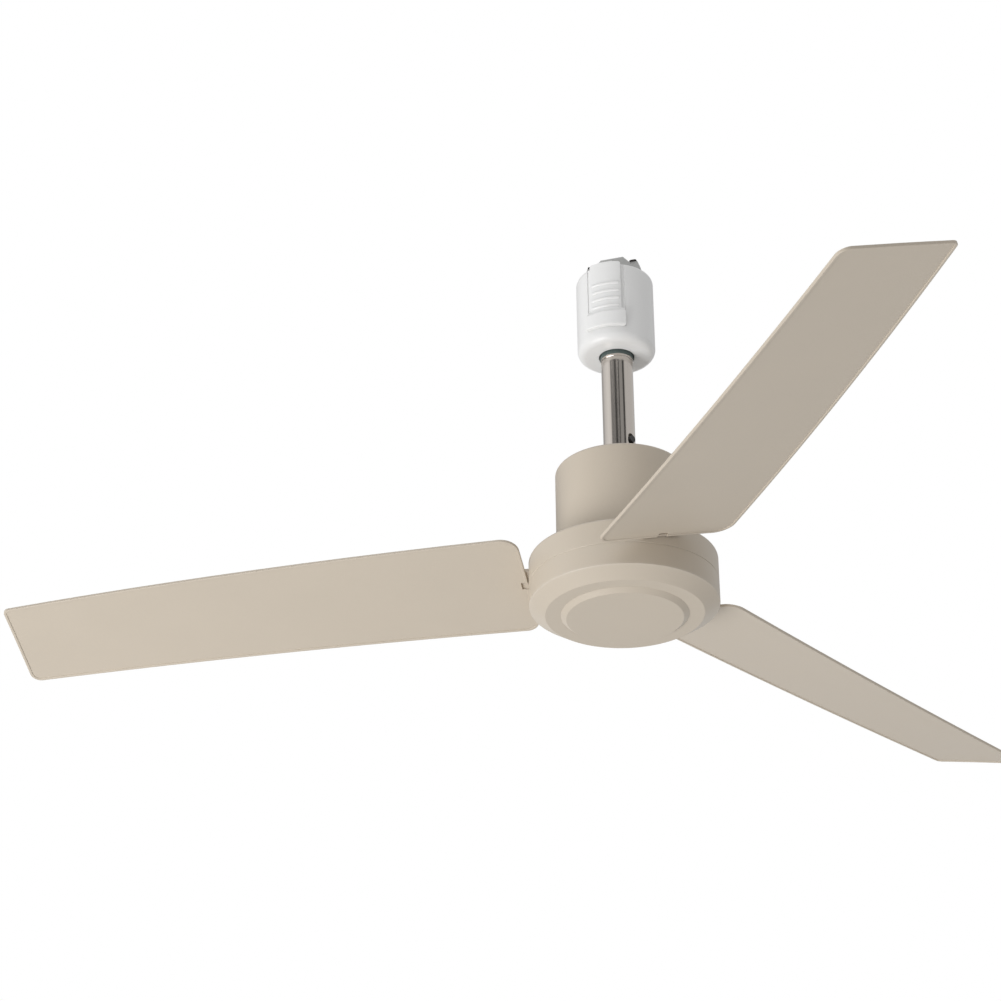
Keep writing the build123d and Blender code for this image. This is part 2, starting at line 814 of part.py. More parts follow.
with BuildPart() as pillar_screws:
    with BuildSketch(Plane.XY.offset(canister_bottom_z)) as pillar_screw_shanks:
        with Locations(*pillar_spots):
            Circle(large_r)
    extrude(amount=base_t)
save(pillar_screws.part, "pillar_screws")


# Driver board with its parts
board_top_z = board_z + board_t
with BuildPart() as driver_board:
    with BuildSketch(Plane.XY.offset(board_z)) as board:
        Circle(board_r)
        Circle(board_hole_r, mode=Mode.SUBTRACT)
    extrude(amount=board_t)
save(driver_board.part, "driver_board")

with BuildPart() as driver_capacitors:
    with BuildSketch(Plane.XY.offset(board_top_z)) as cans:
        with Locations(*[at(azimuth, driver_ring_r) for azimuth in capacitor_azimuths]):
            Circle(capacitor_r)
    extrude(amount=capacitor_h)
    chamfer(driver_capacitors.faces().group_by(Axis.Z)[-1].edges(), capacitor_edge)
save(driver_capacitors.part, "driver_capacitors")

with BuildPart() as driver_choke:
    with BuildSketch(Plane.XY.offset(board_top_z)) as choke_ring:
        with Locations(at(choke_azimuth, driver_ring_r)):
            Circle(choke_r)
            Circle(choke_in_r, mode=Mode.SUBTRACT)
    extrude(amount=choke_h)
    chamfer(driver_choke.edges().filter_by(GeomType.CIRCLE), choke_edge)
save(driver_choke.part, "driver_choke")

with BuildPart() as terminal_block:
    with BuildSketch(Plane.XY.offset(board_top_z)) as block:
        with Locations(at(terminal_azimuth, driver_ring_r)):
            Rectangle(terminal_l, terminal_w)
    extrude(amount=terminal_h)
    with BuildSketch(Plane.XY.offset(board_top_z + terminal_h)) as wire_wells:
        with Locations(at(terminal_azimuth, driver_ring_r)):
            with GridLocations(well_pitch, 1, 2, 1):
                Circle(well_r)
    extrude(amount=-well_depth, mode=Mode.SUBTRACT)
save(terminal_block.part, "terminal_block")


# Two leads from the contact blades, down inside the pipe and the stub, to just above the board
with BuildPart() as mains_leads:
    for side in (1, -1):
        lead_at = at(bolt_azimuth + side * 90, lead_ring_r)
        with BuildLine() as lead_line:
            FilletPolyline(
                (side * lead_x, -side * contact_leg_y, contact_bottom_z + lead_lap),
                (side * lead_x, -side * contact_leg_y, pipe_top_z + lead_slant),
                (lead_at[0], lead_at[1], pipe_top_z),
                (lead_at[0], lead_at[1], board_top_z + lead_end_up),
                radius=lead_bend,
            )
        with BuildSketch(Plane(lead_line.line @ 0, z_dir=lead_line.line % 0)) as lead_round:
            Circle(lead_r)
        sweep(path=lead_line.line)
save(mains_leads.part, "mains_leads")


# Fixed hollow shaft with its flange on the base plate
shaft_flange_z = base_top_z + shaft_flange_t
with BuildPart() as motor_shaft:
    with BuildSketch(Plane.XZ) as shaft_section:
        with BuildLine():
            Polyline(
                (shaft_in_r, shaft_flange_z),
                (shaft_flange_r, shaft_flange_z),
                (shaft_flange_r, base_top_z),
                (shaft_collar_r, base_top_z),
                (shaft_collar_r, yoke_top_z),
                (shaft_r, yoke_top_z),
                (shaft_r, shaft_end_z),
                (shaft_in_r, shaft_end_z),
                close=True,
            )
        make_face()
    revolve(axis=Axis.Z)
    with BuildSketch(Plane.XY.offset(base_top_z)) as shaft_flange_holes:
        with Locations(*shaft_screw_spots):
            Circle(small_r + screw_gap)
    extrude(amount=shaft_flange_t, mode=Mode.SUBTRACT)
    with BuildSketch(Plane.XY.offset(lower_bearing_z)) as circlip_groove:
        Circle(shaft_r)
        Circle(shaft_r - groove_depth, mode=Mode.SUBTRACT)
    extrude(amount=-circlip_t, mode=Mode.SUBTRACT)
save(motor_shaft.part, "motor_shaft")

shaft_flange_top = Plane.XY.offset(shaft_flange_z)
screw_group("shaft_screws", [shaft_flange_top], shaft_screw_spots, shaft_flange_t + base_t)


# Bearings: an inner ring on the shaft, an outer ring in the rotor and a cage between them
for bearing_name, bearing_z in (("upper_bearing", upper_bearing_z), ("lower_bearing", lower_bearing_z)):
    with BuildPart() as inner_ring:
        with BuildSketch(Plane.XY.offset(bearing_z)) as inner_round:
            Circle(shaft_r + bearing_ring_t)
            Circle(shaft_r, mode=Mode.SUBTRACT)
        extrude(amount=bearing_h)
    save(inner_ring.part, bearing_name + "_inner")
    with BuildPart() as outer_ring:
        with BuildSketch(Plane.XY.offset(bearing_z)) as outer_round:
            Circle(bearing_r)
            Circle(bearing_r - bearing_ring_t, mode=Mode.SUBTRACT)
        extrude(amount=bearing_h)
    save(outer_ring.part, bearing_name + "_outer")
    with BuildPart() as cage:
        with BuildSketch(Plane.XY.offset(bearing_z + cage_recess)) as cage_round:
            Circle(bearing_r - bearing_ring_t - cage_play)
            Circle(shaft_r + bearing_ring_t + press_gap, mode=Mode.SUBTRACT)
        extrude(amount=bearing_h - 2 * cage_recess)
    save(cage.part, bearing_name + "_cage")

with BuildPart() as shaft_circlip:
    with BuildSketch(Plane.XY.offset(lower_bearing_z)) as clip_round:
        Circle(circlip_r)
        Circle(shaft_r - groove_depth + press_gap, mode=Mode.SUBTRACT)
        with Locations((0, circlip_r)):
            Rectangle(circlip_gap_w, circlip_r, mode=Mode.SUBTRACT)
    extrude(amount=-circlip_t)
save(shaft_circlip.part, "shaft_circlip")


# Stator: hub, teeth and pole shoes
with BuildPart() as stator_core:
    with BuildSketch(Plane.XY.offset(stator_z - stator_h / 2)) as lamination:
        Circle(stator_r)
        Circle(stator_r - shoe_t, mode=Mode.SUBTRACT)
        with PolarLocations(stator_r, teeth, start_angle=180 / teeth):
            Rectangle(4 * shoe_t, slot_mouth, mode=Mode.SUBTRACT)
        Circle(stator_hub_r)
        with PolarLocations((stator_hub_r + stator_r - shoe_t) / 2, teeth):
            Rectangle(stator_r - shoe_t - stator_hub_r + 1.0, tooth_w)
        Circle(shaft_r, mode=Mode.SUBTRACT)
    extrude(amount=stator_h)
save(stator_core.part, "stator_core")

with BuildPart() as stator_coils:
    with BuildSketch(Plane.XY.offset(stator_z - stator_h / 2 - coil_end)) as coil_blocks:
        with PolarLocations((coil_in_r + coil_out_r) / 2, teeth):
            RectangleRounded(coil_out_r - coil_in_r, tooth_w + 2 * coil_side, coil_round)
    extrude(amount=stator_h + 2 * coil_end)
    with BuildSketch(Plane.XY.offset(stator_z - stator_h / 2)) as tooth_space:
        with PolarLocations((coil_in_r + coil_out_r) / 2, teeth):
            Rectangle(coil_out_r - coil_in_r + 2, tooth_w)
    extrude(amount=stator_h, mode=Mode.SUBTRACT)
save(stator_coils.part, "stator_coils")


# Rotor ring with the magnets round the stator
yoke_screw_spots = ring(yoke_screw_ring_r, yoke_screw_count)
with BuildPart() as rotor_ring:
    with BuildSketch(Plane.XY.offset(yoke_top_z)) as yoke_round:
        Circle(magnet_out_r + yoke_t)
        Circle(magnet_out_r, mode=Mode.SUBTRACT)
    extrude(amount=-yoke_h)
    with BuildSketch(Plane.XY.offset(yoke_top_z)) as yoke_flange:
        Circle(magnet_out_r + yoke_t)
        Circle(yoke_flange_r, mode=Mode.SUBTRACT)
        with Locations(*yoke_screw_spots):
            Circle(small_r, mode=Mode.SUBTRACT)
    extrude(amount=-yoke_t)
save(rotor_ring.part, "rotor_ring")

with BuildPart() as rotor_magnets:
    for index in range(magnet_count):
        with BuildSketch(Plane.XY.offset(stator_z - magnet_h / 2)) as magnet_arc:
            Circle(magnet_out_r)
            Circle(magnet_in_r, mode=Mode.SUBTRACT)
            add(sector(360 / magnet_count * index, magnet_angle / 2), mode=Mode.INTERSECT)
        extrude(amount=magnet_h)
save(rotor_magnets.part, "rotor_magnets")

sink_floor = Plane.XY.offset(shell_top_z - sink_depth)
screw_group("yoke_screws", [sink_floor], yoke_screw_spots, shell_top_t + yoke_t - sink_depth)


def pitched(azimuth, pitch, rise=0.0):
    """The blade's own plane: x outwards, y across the chord, z out of its upper face."""
    normal = (
        sin(radians(pitch)) * sin(radians(azimuth)),
        -sin(radians(pitch)) * cos(radians(azimuth)),
        cos(radians(pitch)),
    )
    return Plane(origin=(0, 0, blade_z), x_dir=at(azimuth, 1), z_dir=normal).offset(rise)


# Upper shell: top plate with the bearing cup, side wall, posts, and windows for the blade holders
blade_azimuths = [blade_1_azimuth + 360 / blade_count * index for index in range(blade_count)]
holder_top_rise = holder_rise + holder_t
first_screw = blade_1_azimuth + 180 / shell_screw_count
shell_screw_spots = ring(shell_screw_ring_r, shell_screw_count, start=first_screw)
foot_screw_spots = [(foot_screw_r, holder_c + side * foot_screw_spread) for side in (1, -1)]
with BuildPart() as upper_shell:
    with BuildSketch(Plane.XZ) as upper_section:
        with BuildLine():
            Polyline(
                (bearing_lip_r, shell_top_z),
                (shell_r, shell_top_z),
                (shell_r, seam_z),
                (shell_in_r, seam_z),
                (shell_in_r, yoke_top_z),
                (bearing_r + cup_wall, yoke_top_z),
                (bearing_r + cup_wall, upper_bearing_z),
                (bearing_r, upper_bearing_z),
                (bearing_r, yoke_top_z),
                (bearing_lip_r, yoke_top_z),
                close=True,
            )
        make_face()
        fillet(corner(upper_section, shell_r, shell_top_z), shell_top_round)
        chamfer(corner(upper_section, shell_r, seam_z), seam_edge)
    revolve(axis=Axis.Z)
    with BuildSketch(Plane.XY.offset(yoke_top_z)) as upper_screw_posts:
        with Locations(*shell_screw_spots):
            Circle(post_r)
    extrude(amount=seam_z - yoke_top_z)
    for azimuth in blade_azimuths:
        with BuildSketch(pitched(azimuth, blade_pitch_root, holder_top_rise)) as foot_posts:
            with Locations(*foot_screw_spots):
                Circle(post_r)
        extrude(until=Until.NEXT)
        with BuildSketch(pitched(azimuth, blade_pitch_root, holder_top_rise)) as foot_post_holes:
            with Locations(*foot_screw_spots):
                Circle(small_r + press_gap)
        extrude(amount=foot_screw_depth, mode=Mode.SUBTRACT)
        with BuildSketch(pitched(azimuth, blade_pitch_root, holder_rise - screw_gap)) as holder_window:
            with Locations((shell_r, holder_c)):
                Rectangle(4 * shell_wall, holder_w + 2 * screw_gap)
        extrude(amount=holder_t + 2 * screw_gap, mode=Mode.SUBTRACT)
    with BuildSketch(Plane.XY.offset(shell_top_z)) as upper_screw_sinks:
        with Locations(*shell_screw_spots, *yoke_screw_spots):
            Circle(small_head_r + screw_gap)
    extrude(amount=-sink_depth, mode=Mode.SUBTRACT)
    with BuildSketch(Plane.XY.offset(shell_top_z)) as upper_screw_holes:
        with Locations(*shell_screw_spots, *yoke_screw_spots):
            Circle(small_r + screw_gap)
    extrude(amount=seam_z - shell_top_z, mode=Mode.SUBTRACT)
save(upper_shell.part, "upper_shell")


# Lower shell: side wall, sloping band, flat ring, seat for the cap, inner floor and bearing cup
seat_z = flat_z + cap_seat_depth
ledge_top_z = seat_z + shell_wall
inner_floor_z = flat_z + inner_floor_up
register_in_r = shell_in_r - register_t
with BuildPart() as lower_shell:
    with BuildSketch(Plane.XZ) as lower_section:
        with BuildLine():
            Polyline(
                (shell_r, seam_z),
                (shell_r, rim_z),
                (band_in_r, flat_z),
                (cap_seat_r, flat_z),
                (cap_seat_r, seat_z),
                (cap_seat_r - cap_ledge_w, seat_z),
                (cap_seat_r - cap_ledge_w - floor_slope_w, inner_floor_z),
                (bearing_lip_r, inner_floor_z),
                (bearing_lip_r, lower_bearing_z),
                (bearing_r, lower_bearing_z),
                (bearing_r, lower_bearing_z + bearing_h),
                (bearing_r + cup_wall, lower_bearing_z + bearing_h),
                (bearing_r + cup_wall, lower_bearing_z),
                (cap_seat_r - cap_ledge_w - floor_slope_w / 2, lower_bearing_z),
                (cap_seat_r - cap_ledge_w / 2, ledge_top_z),
                (band_in_r - shell_wall / 2, ledge_top_z),
                (shell_in_r, rim_z + shell_wall),
                (shell_in_r, seam_z - register_h),
                (register_in_r, seam_z - register_h),
                (register_in_r, seam_z + register_h),
                (shell_in_r - press_gap, seam_z + register_h),
                (shell_in_r - press_gap, seam_z),
                close=True,
            )
        make_face()
        fillet(corner(lower_section, shell_r, rim_z), rim_round)
        fillet(corner(lower_section, band_in_r, flat_z), rim_round)
        chamfer(corner(lower_section, shell_r, seam_z), seam_edge)
    revolve(axis=Axis.Z)
    with BuildSketch(Plane.XY.offset(seam_z)) as lower_screw_posts:
        with Locations(*shell_screw_spots):
            Circle(post_r)
    extrude(amount=rim_z - seam_z)
    with BuildSketch(Plane.XY.offset(seam_z + register_h)) as register_gaps:
        with Locations(*shell_screw_spots):
            Circle(post_r + slide_gap)
    extrude(amount=-register_h, mode=Mode.SUBTRACT)
    with BuildSketch(Plane.XY.offset(seam_z)) as lower_screw_holes:
        with Locations(*shell_screw_spots):
            Circle(small_r + press_gap)
    extrude(amount=-shell_screw_depth - 1, mode=Mode.SUBTRACT)
    with BuildSketch(Plane.XY.offset(lower_bearing_z)) as leg_slots:
        with PolarLocations(leg_ring_r, 3):
            Rectangle(leg_t + 2 * leg_room, leg_w + 2 * leg_room)
    extrude(amount=-inner_floor_t, mode=Mode.SUBTRACT)
save(lower_shell.part, "lower_shell")

shell_screw_l = upper_shell_h - sink_depth + shell_screw_depth
screw_group("shell_screws", [sink_floor], shell_screw_spots, shell_screw_l)

with BuildPart() as centre_cap:
    with BuildSketch(Plane.XZ) as cap_section:
        with BuildLine():
            Polyline(
                (0, cap_z),
                (cap_face_r, cap_z),
                (cap_seat_r - press_gap, flat_z),
                (cap_seat_r - press_gap, seat_z),
                (cap_seat_r - cap_t, seat_z),
                (cap_face_r - cap_t, cap_z + cap_t),
                (0, cap_z + cap_t),
                close=True,
            )
        make_face()
        fillet(corner(cap_section, cap_face_r, cap_z), rim_round)
    revolve(axis=Axis.Z)
    with BuildSketch(Plane.XY.offset(cap_z + cap_t / 2)) as cap_legs:
        with PolarLocations(leg_ring_r, 3):
            Rectangle(leg_t, leg_w)
    extrude(amount=lower_bearing_z + leg_hook - cap_z)
save(centre_cap.part, "centre_cap")


# Blade holders, with a key in the notch of the blade's root
for index, azimuth in enumerate(blade_azimuths):
    with BuildPart() as holder:
        with BuildSketch(pitched(azimuth, blade_pitch_root, holder_rise)) as iron:
            with Locations(((holder_foot_r + holder_end_r) / 2, holder_c)):
                RectangleRounded(holder_end_r - holder_foot_r, holder_w, holder_round)
            with Locations(*foot_screw_spots):
                Circle(small_r + screw_gap, mode=Mode.SUBTRACT)
            with Locations(*peg_spots):
                Circle(peg_r + screw_gap, mode=Mode.SUBTRACT)
        extrude(amount=holder_t)
        with BuildSketch(pitched(azimuth, blade_pitch_root, holder_rise + join)) as key:
            with Locations((blade_root_r + key_l / 2, holder_c)):
                Rectangle(key_l, notch_w - 2 * key_gap)
        extrude(amount=-key_depth - join)
    save(holder.part, f"blade_holder_{index + 1}")

foot_planes = []
for azimuth in blade_azimuths:
    under = pitched(azimuth, blade_pitch_root, holder_rise)
    foot_planes.append(Plane(origin=under.origin, x_dir=under.x_dir, z_dir=-under.z_dir))
foot_head_spots = [(x, -y) for x, y in foot_screw_spots]
foot_screw_l = holder_t + foot_screw_depth - screw_gap
screw_group("foot_screws", foot_planes, foot_head_spots, foot_screw_l)


def skin(azimuth, low, high):
    """A cambered and slightly twisted layer of the blade between two heights above its lower face."""
    edge_drop = blade_camber * ((skin_reach / lead_root) ** 2 - 1)
    with BuildPart() as layer:
        for share in skin_stations:
            radius = blade_root_r + share * (fan_r - blade_root_r)
            pitch = blade_pitch_root + share * (blade_pitch_tip - blade_pitch_root)
            station = Plane(
                origin=at(azimuth, radius, blade_z - blade_droop * share),
                x_dir=at(azimuth + 90, cos(radians(pitch)), sin(radians(pitch))),
                z_dir=at(azimuth, 1),
            )
            with BuildSketch(station) as band:
                with BuildLine():
                    faces = []
                    for height in (low, high):
                        edge = height - edge_drop
                        crown = (0, height + blade_camber)
                        faces.append(ThreePointArc((-skin_reach, edge), crown, (skin_reach, edge)))
                    Line(faces[0] @ 0, faces[1] @ 0)
                    Line(faces[0] @ 1, faces[1] @ 1)
                make_face()
        loft()
    return layer.part


def outline():
    """The blade's plan: straight root and tip, curved edges and four rounded corners."""
    mid_r = (blade_root_r + fan_r) / 2
    trail_tip_r = fan_r + tip_skew / 2
    lead_tip_r = fan_r - tip_skew / 2
    with BuildSketch() as plan:
        with BuildLine():
            ThreePointArc((blade_root_r, trail_root), (mid_r, trail_mid), (trail_tip_r, trail_tip))
            Line((trail_tip_r, trail_tip), (lead_tip_r, lead_tip))
            ThreePointArc((lead_tip_r, lead_tip), (mid_r, lead_mid), (blade_root_r, lead_root))
            Line((blade_root_r, lead_root), (blade_root_r, trail_root))
        make_face()
        fillet(corner(plan, blade_root_r, lead_root), root_lead_round)
        fillet(corner(plan, blade_root_r, trail_root), root_trail_round)
        fillet(corner(plan, lead_tip_r, lead_tip), tip_lead_round)
        fillet(corner(plan, trail_tip_r, trail_tip), tip_trail_round)
    return plan.sketch


# Blades: a thin skin cut to its outline, with a bead left round the rim of its lower face
plan_face = outline()
blade_mean_pitch = (blade_pitch_root + blade_pitch_tip) / 2
for index, azimuth in enumerate(blade_azimuths):
    full_skin = skin(azimuth, 0.0, blade_t)
    dish_skin = skin(azimuth, -bead_h, bead_h)
    cut_plane = pitched(azimuth, blade_mean_pitch, -cut_depth / 2)
    with BuildPart() as dish:
        with BuildSketch(cut_plane) as inset:
            add(offset(plan_face, amount=-bead_w))
        extrude(amount=cut_depth)
        add(dish_skin, mode=Mode.INTERSECT)
    with BuildPart() as blade:
        with BuildSketch(cut_plane) as rim:
            add(plan_face)
            with Locations((blade_root_r, holder_c)):
                Rectangle(2 * notch_depth, notch_w, mode=Mode.SUBTRACT)
        extrude(amount=cut_depth)
        add(full_skin, mode=Mode.INTERSECT)
        add(dish.part, mode=Mode.SUBTRACT)
        bead_face = blade.faces().filter_by(lambda face: face.normal_at().Z < -0.8).sort_by(SortBy.AREA)[-2]
        fillet(bead_face.edges(), bead_round)
        with BuildSketch(pitched(azimuth, blade_pitch_root, holder_rise - peg_root)) as pegs:
            with Locations(*peg_spots):
                Circle(peg_r)
        extrude(amount=peg_root + holder_t + press_gap)
        with BuildSketch(pitched(azimuth, blade_pitch_root, holder_top_rise + press_gap)) as peg_holes:
            with Locations(*peg_spots):
                Circle(small_r + press_gap)
        extrude(amount=-peg_screw_l - press_gap, mode=Mode.SUBTRACT)
    save(blade.part, f"blade_{index + 1}")

peg_planes = [pitched(azimuth, blade_pitch_root, holder_top_rise + press_gap) for azimuth in blade_azimuths]
screw_group("pad_screws", peg_planes, peg_spots, peg_screw_l)
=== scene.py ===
"""Track-mounted ceiling fan: its finishes, its finer pieces, the studio and the camera.

Lengths are in metres, in the part's own frame: the origin is on the fan's axis where the plug meets the
rail, +Z is up, and the lock lever faces -Y. Azimuths are in degrees about the fan's axis, and colours are
linear.
"""
import json
from math import cos, radians, sin

import bpy
from mathutils import Matrix, Vector


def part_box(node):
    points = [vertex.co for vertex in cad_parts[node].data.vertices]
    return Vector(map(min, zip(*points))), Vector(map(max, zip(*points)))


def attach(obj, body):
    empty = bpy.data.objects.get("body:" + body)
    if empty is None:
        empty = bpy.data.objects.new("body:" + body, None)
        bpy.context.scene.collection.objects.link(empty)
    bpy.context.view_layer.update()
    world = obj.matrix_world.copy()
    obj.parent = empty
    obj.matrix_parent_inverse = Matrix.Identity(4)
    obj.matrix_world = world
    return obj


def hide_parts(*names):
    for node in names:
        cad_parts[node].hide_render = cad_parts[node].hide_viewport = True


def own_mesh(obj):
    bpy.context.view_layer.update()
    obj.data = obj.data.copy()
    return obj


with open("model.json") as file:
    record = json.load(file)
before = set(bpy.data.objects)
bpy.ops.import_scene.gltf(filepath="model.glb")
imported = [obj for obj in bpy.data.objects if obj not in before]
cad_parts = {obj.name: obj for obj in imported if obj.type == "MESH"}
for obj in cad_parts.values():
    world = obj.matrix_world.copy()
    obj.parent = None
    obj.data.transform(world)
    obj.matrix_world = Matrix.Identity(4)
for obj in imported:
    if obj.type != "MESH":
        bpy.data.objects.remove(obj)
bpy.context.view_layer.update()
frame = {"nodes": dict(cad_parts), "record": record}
nodes = frame["nodes"]

# Camera, fitted to the photograph: its place round the fan, its turns in degrees, its lens in millimetres
camera_azimuth = -75.7
camera_reach = 1.5594
camera_height = -0.9942
camera_heading = 17.273
camera_tilt = 27.838
camera_roll = -0.456
camera_lens = 94.595
film_width = 36.0

# Finish colours; the rail head's grey is darkened as painted shade
greige = (0.575, 0.505, 0.415, 1)
greige_bracket = (0.55, 0.48, 0.395, 1)
plug_white = (0.85, 0.85, 0.845, 1)
# The rail head's own grey plastic, darkened further as painted shade that stands for the shade it lies in
# above the plug
head_grey_with_painted_shade = (0.50, 0.50, 0.49, 1)
pipe_steel = (0.585, 0.54, 0.495, 1)
plated_steel = (0.58, 0.58, 0.56, 1)
ground_steel = (0.56, 0.56, 0.55, 1)
core_grey = (0.20, 0.20, 0.21, 1)
bush_grey = (0.085, 0.115, 0.11, 1)
black_oxide = (0.012, 0.012, 0.012, 1)
contact_brown = (0.035, 0.03, 0.027, 1)
board_green = (0.012, 0.10, 0.035, 1)
sleeve_blue = (0.02, 0.03, 0.06, 1)
choke_brown = (0.07, 0.035, 0.02, 1)
terminal_cream = (0.70, 0.69, 0.62, 1)
lead_grey = (0.42, 0.42, 0.42, 1)
copper = (0.60, 0.23, 0.09, 1)
magnet_grey = (0.045, 0.045, 0.05, 1)
dust_grey = (0.50, 0.48, 0.45, 1)
studio_white = (0.80, 0.80, 0.80, 1)
pure_white = (1, 1, 1, 1)

# Wear, dust and relief: how far a worn rim reaches, how strongly it shows, the share of its colour's depth
# that it keeps, how much dust dulls a face, and how deep the lines in metal are
rim_reach = 0.0014
rim_strength = 0.5
rim_colour_left = 0.75
dust_dulling = 0.5
metal_line_depth = 0.000002

# Ball bearings: the play of a ball between its rings, and the cage's rings and pins
ball_count = 9
ball_play = 0.00003
cage_ring_t = 0.0003
cage_ring_half_width = 0.0008
cage_ring_gap = 0.0001
cage_pin_r = 0.0003

# Edges flatter than this are shaded smooth
smooth_angle = radians(35)


def polar(azimuth, reach, height):
    """A point at an azimuth and a distance from the fan's axis."""
    return Vector((reach * cos(radians(azimuth)), reach * sin(radians(azimuth)), height))


def put(tree, kind, **values):
    """A new node, with its settings and the values of its sockets."""
    node = tree.nodes.new("ShaderNode" + kind)
    for name, value in values.items():
        if hasattr(node, name):
            setattr(node, name, value)
        else:
            node.inputs[name.replace("_", " ")].default_value = value
    return node


def feed(tree, socket, value):
    """Give a socket another node's result, or a plain number or colour."""
    if isinstance(value, bpy.types.NodeSocket):
        tree.links.new(value, socket)
    else:
        socket.default_value = value


def math_node(tree, operation, first, second=None, clamp=False):
    """A Math node fed by sockets or plain numbers, and its result."""
    node = put(tree, "Math", operation=operation, use_clamp=clamp)
    feed(tree, node.inputs[0], first)
    if second is not None:
        feed(tree, node.inputs[1], second)
    return node.outputs[0]


def mixed(tree, mask, first, second):
    """A colour mixed towards a second one by a mask."""
    node = put(tree, "Mix", data_type="RGBA")
    for name, value in (("Factor", mask), ("A", first), ("B", second)):
        feed(tree, node.inputs[name], value)
    return node.outputs["Result"]


def object_point(tree):
    """The point's own place on the object."""
    return put(tree, "TexCoord").outputs["Object"]


def noise(tree, vector, scale, detail):
    """A noise value about one half, its scale in waves per metre."""
    node = put(tree, "TexNoise", Detail=detail)
    tree.links.new(vector, node.inputs["Vector"])
    feed(tree, node.inputs["Scale"], scale)
    return node.outputs["Fac"]


def swing(tree, value, amount):
    """A noise value's swing about one half, times an amount."""
    return math_node(tree, "MULTIPLY", math_node(tree, "SUBTRACT", value, 0.5), amount)


def shaded(tree, colour, value):
    """A colour made lighter or darker by a factor."""
    node = put(tree, "VectorMath", operation="SCALE")
    tree.links.new(colour, node.inputs[0])
    tree.links.new(value, node.inputs["Scale"])
    return node.outputs[0]


def diagonal(tree, first, second):
    """The length of the diagonal of two lengths at right angles."""
    squares = [math_node(tree, "MULTIPLY", length, length) for length in (first, second)]
    return math_node(tree, "SQRT", math_node(tree, "ADD", *squares))


def round_place(tree):
    """The point's distance from the fan's axis, and its height."""
    parts = put(tree, "SeparateXYZ")
    tree.links.new(object_point(tree), parts.inputs[0])
    return diagonal(tree, parts.outputs["X"], parts.outputs["Y"]), parts.outputs["Z"]


def new_group(name, inputs, outputs):
    """A shader node group with its sockets, and its tree, input and output nodes."""
    tree = bpy.data.node_groups.new(name, "ShaderNodeTree")
    for label, kind, default in inputs:
        socket = tree.interface.new_socket(label, in_out="INPUT", socket_type="NodeSocket" + kind)
        socket.default_value = default
    for label, kind in outputs:
        tree.interface.new_socket(label, in_out="OUTPUT", socket_type="NodeSocket" + kind)
    return tree, tree.nodes.new("NodeGroupInput"), tree.nodes.new("NodeGroupOutput")


def make_moulded_skin():
    """Moulded or painted surface: faint clouds and specks, a fine grain, and a roughness that clouds too."""
    tree, given, result = new_group(
        "moulded_skin",
        [
            ("Colour", "Color", studio_white),
            ("Clouding", "Float", 0.03),
            ("Roughness", "Float", 0.4),
            ("Roughness Spread", "Float", 0.12),
            ("Grain Size", "Float", 0.0005),
        ],
        [("Colour", "Color"), ("Roughness", "Float"), ("Height", "Float")],
    )
    point = object_point(tree)
    cloud = noise(tree, point, scale=22.0, detail=3.0)
    speck = noise(tree, point, scale=900.0, detail=1.0)
    grain_waves = math_node(tree, "DIVIDE", 1.0, given.outputs["Grain Size"])
    grain = noise(tree, point, scale=grain_waves, detail=2.0)
    clouding = swing(tree, cloud, given.outputs["Clouding"])
    marking = math_node(tree, "ADD", clouding, swing(tree, speck, amount=0.03))
    shade = shaded(tree, given.outputs["Colour"], math_node(tree, "ADD", marking, 1.0))
    uneven = swing(tree, cloud, given.outputs["Roughness Spread"])
    roughness = math_node(tree, "ADD", given.outputs["Roughness"], uneven)
    tree.links.new(shade, result.inputs["Colour"])
    tree.links.new(roughness, result.inputs["Roughness"])
    tree.links.new(grain, result.inputs["Height"])
    return tree


def make_rim_wear():
    """Mask for the rubbed edge of a round piece: a circle about the axis, broken by noise."""
    tree, given, result = new_group(
        "rim_wear",
        [("Radius", "Float", 0.06), ("Level", "Float", -0.2), ("Reach", "Float", 0.001)],
        [("Mask", "Float")],
    )
    reach, level = round_place(tree)
    across = math_node(tree, "SUBTRACT", reach, given.outputs["Radius"])
    along = math_node(tree, "SUBTRACT", level, given.outputs["Level"])
    near = math_node(tree, "DIVIDE", diagonal(tree, across, along), given.outputs["Reach"])
    edge = math_node(tree, "SUBTRACT", 1.0, near, clamp=True)
    patches = noise(tree, object_point(tree), scale=160.0, detail=4.0)
    tree.links.new(math_node(tree, "MULTIPLY", edge, patches, clamp=True), result.inputs["Mask"])
    return tree


def make_settled_dust():
    """Mask for the thin dust on faces that look up."""
    tree, given, result = new_group("settled_dust", [("Amount", "Float", 0.2)], [("Mask", "Float")])
    parts = put(tree, "SeparateXYZ")
    tree.links.new(put(tree, "NewGeometry").outputs["Normal"], parts.inputs[0])
    upward = math_node(tree, "MAXIMUM", parts.outputs["Z"], 0.0)
    patches = noise(tree, object_point(tree), scale=60.0, detail=5.0)
    layer = math_node(tree, "MULTIPLY", upward, patches)
    mask = math_node(tree, "MULTIPLY", layer, given.outputs["Amount"], clamp=True)
    tree.links.new(mask, result.inputs["Mask"])
    return tree


def new_line_group(name, roughness, depth):
    """A group for lined metal, with its default roughness and line depth."""
    return new_group(
        name,
        [("Colour", "Color", plated_steel), ("Roughness", "Float", roughness), ("Depth", "Float", depth)],
        [("Colour", "Color"), ("Roughness", "Float"), ("Height", "Float")],
    )


def finish_lines(tree, given, result, lines, cloud, spread):
    """Lines as faint stripes and relief, and a roughness that changes in clouds."""
    factor = math_node(tree, "ADD", swing(tree, lines, given.outputs["Depth"]), 1.0)
    roughness = math_node(tree, "ADD", given.outputs["Roughness"], swing(tree, cloud, spread))
    tree.links.new(shaded(tree, given.outputs["Colour"], factor), result.inputs["Colour"])
    tree.links.new(roughness, result.inputs["Roughness"])
    tree.links.new(lines, result.inputs["Height"])


